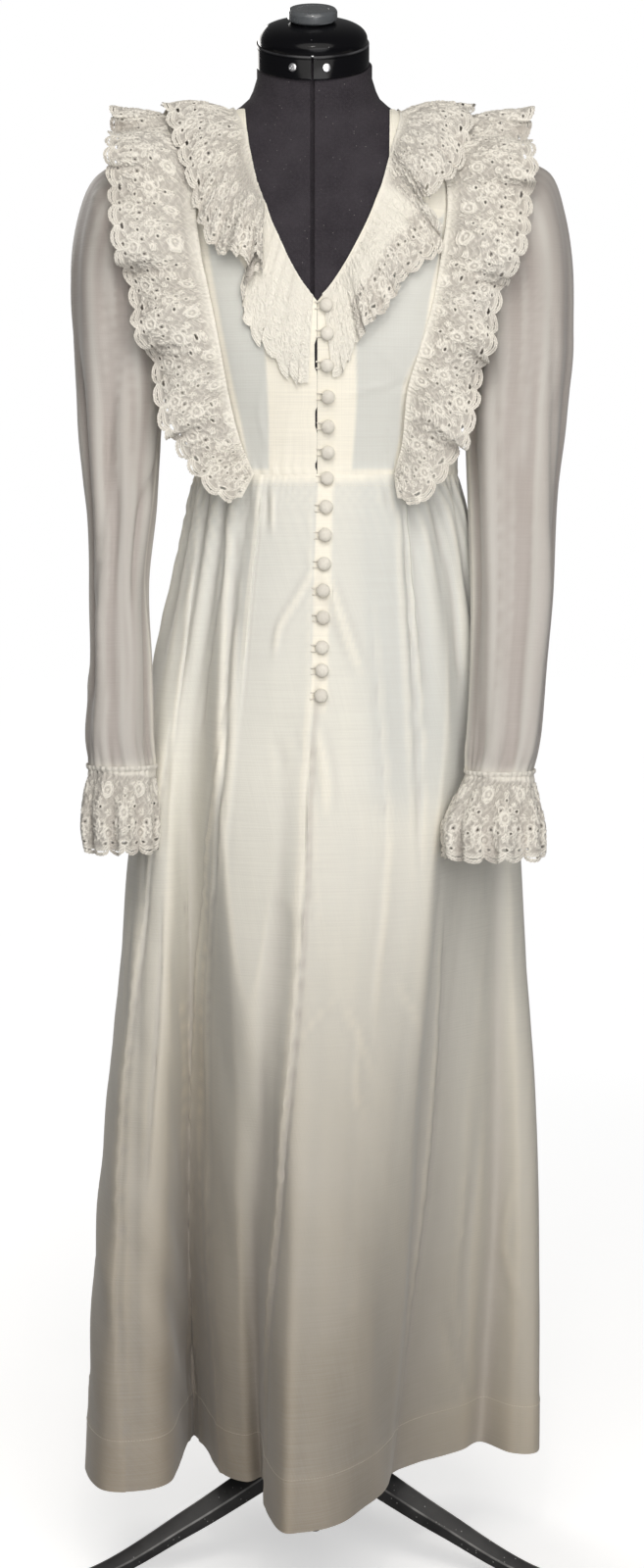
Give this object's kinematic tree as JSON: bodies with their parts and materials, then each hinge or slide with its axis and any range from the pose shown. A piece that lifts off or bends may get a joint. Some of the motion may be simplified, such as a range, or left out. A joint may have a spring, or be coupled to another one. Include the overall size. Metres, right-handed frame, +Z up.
{
  "type": "wedding dress on a limbless adjustable dress form with a tripod stand",
  "caption": "Long-sleeved V-neck wedding dress with gathered lace, covered buttons and full gathered skirt, worn by a limbless dress form on a three-legged stand.",
  "frame": {"origin": "on the floor under the middle of the whole object's bounding box", "axes": "+Z up, -Y towards the front of the dress, +X to the wearer's left"},
  "size_m": [0.5385, 0.5781, 1.6521],
  "materials": {
    "voile": "fine sheer ivory voile with a soft sheen",
    "lace": "gathered cream lace",
    "button_cloth": "satin-covered button and rouleau loop",
    "form_knit": "charcoal knitted jersey over a hard shell",
    "black_plastic": "gloss black moulded plastic",
    "knob_plastic": "smoky translucent moulded knob",
    "screw_steel": "bright plated screw head",
    "stand_plastic": "black speckled powder coat",
    "foot_rubber": "matt black rubber"
  },
  "bodies": {
    "root": {"bodice_back": "voile", "bodice_front_left": "voile", "bodice_front_right": "voile", "bodice_side_left": "voile", "bodice_side_right": "voile", "button_01": "button_cloth", "button_02": "button_cloth", "button_03": "button_cloth", "button_04": "button_cloth", "button_05": "button_cloth", "button_06": "button_cloth", "button_07": "button_cloth", "button_08": "button_cloth", "button_09": "button_cloth", "button_10": "button_cloth", "button_11": "button_cloth", "button_12": "button_cloth", "button_13": "button_cloth", "button_14": "button_cloth", "button_15": "button_cloth", "button_loops": "button_cloth", "cuff_left_back": "lace", "cuff_left_front": "lace", "cuff_right_back": "lace", "cuff_right_front": "lace", "foot_back": "foot_rubber", "foot_front_left": "foot_rubber", "foot_front_right": "foot_rubber", "leg_back": "stand_plastic", "leg_front_left": "stand_plastic", "leg_front_right": "stand_plastic", "neck_band_left": "black_plastic", "neck_band_right": "black_plastic", "neck_cap": "black_plastic", "neck_knob": "knob_plastic", "neck_lace_left": "lace", "neck_lace_right": "lace", "neck_screw_left": "screw_steel", "neck_screw_right": "screw_steel", "pole": "stand_plastic", "shoulder_lace_left": "lace", "shoulder_lace_right": "lace", "skirt_back_left": "voile", "skirt_back_right": "voile", "skirt_front_left": "voile", "skirt_front_right": "voile", "sleeve_left": "voile", "sleeve_right": "voile", "torso_left": "form_knit", "torso_plate": "stand_plastic", "torso_right": "form_knit", "tripod_hub": "stand_plastic"}
  },
  "joints": []
}
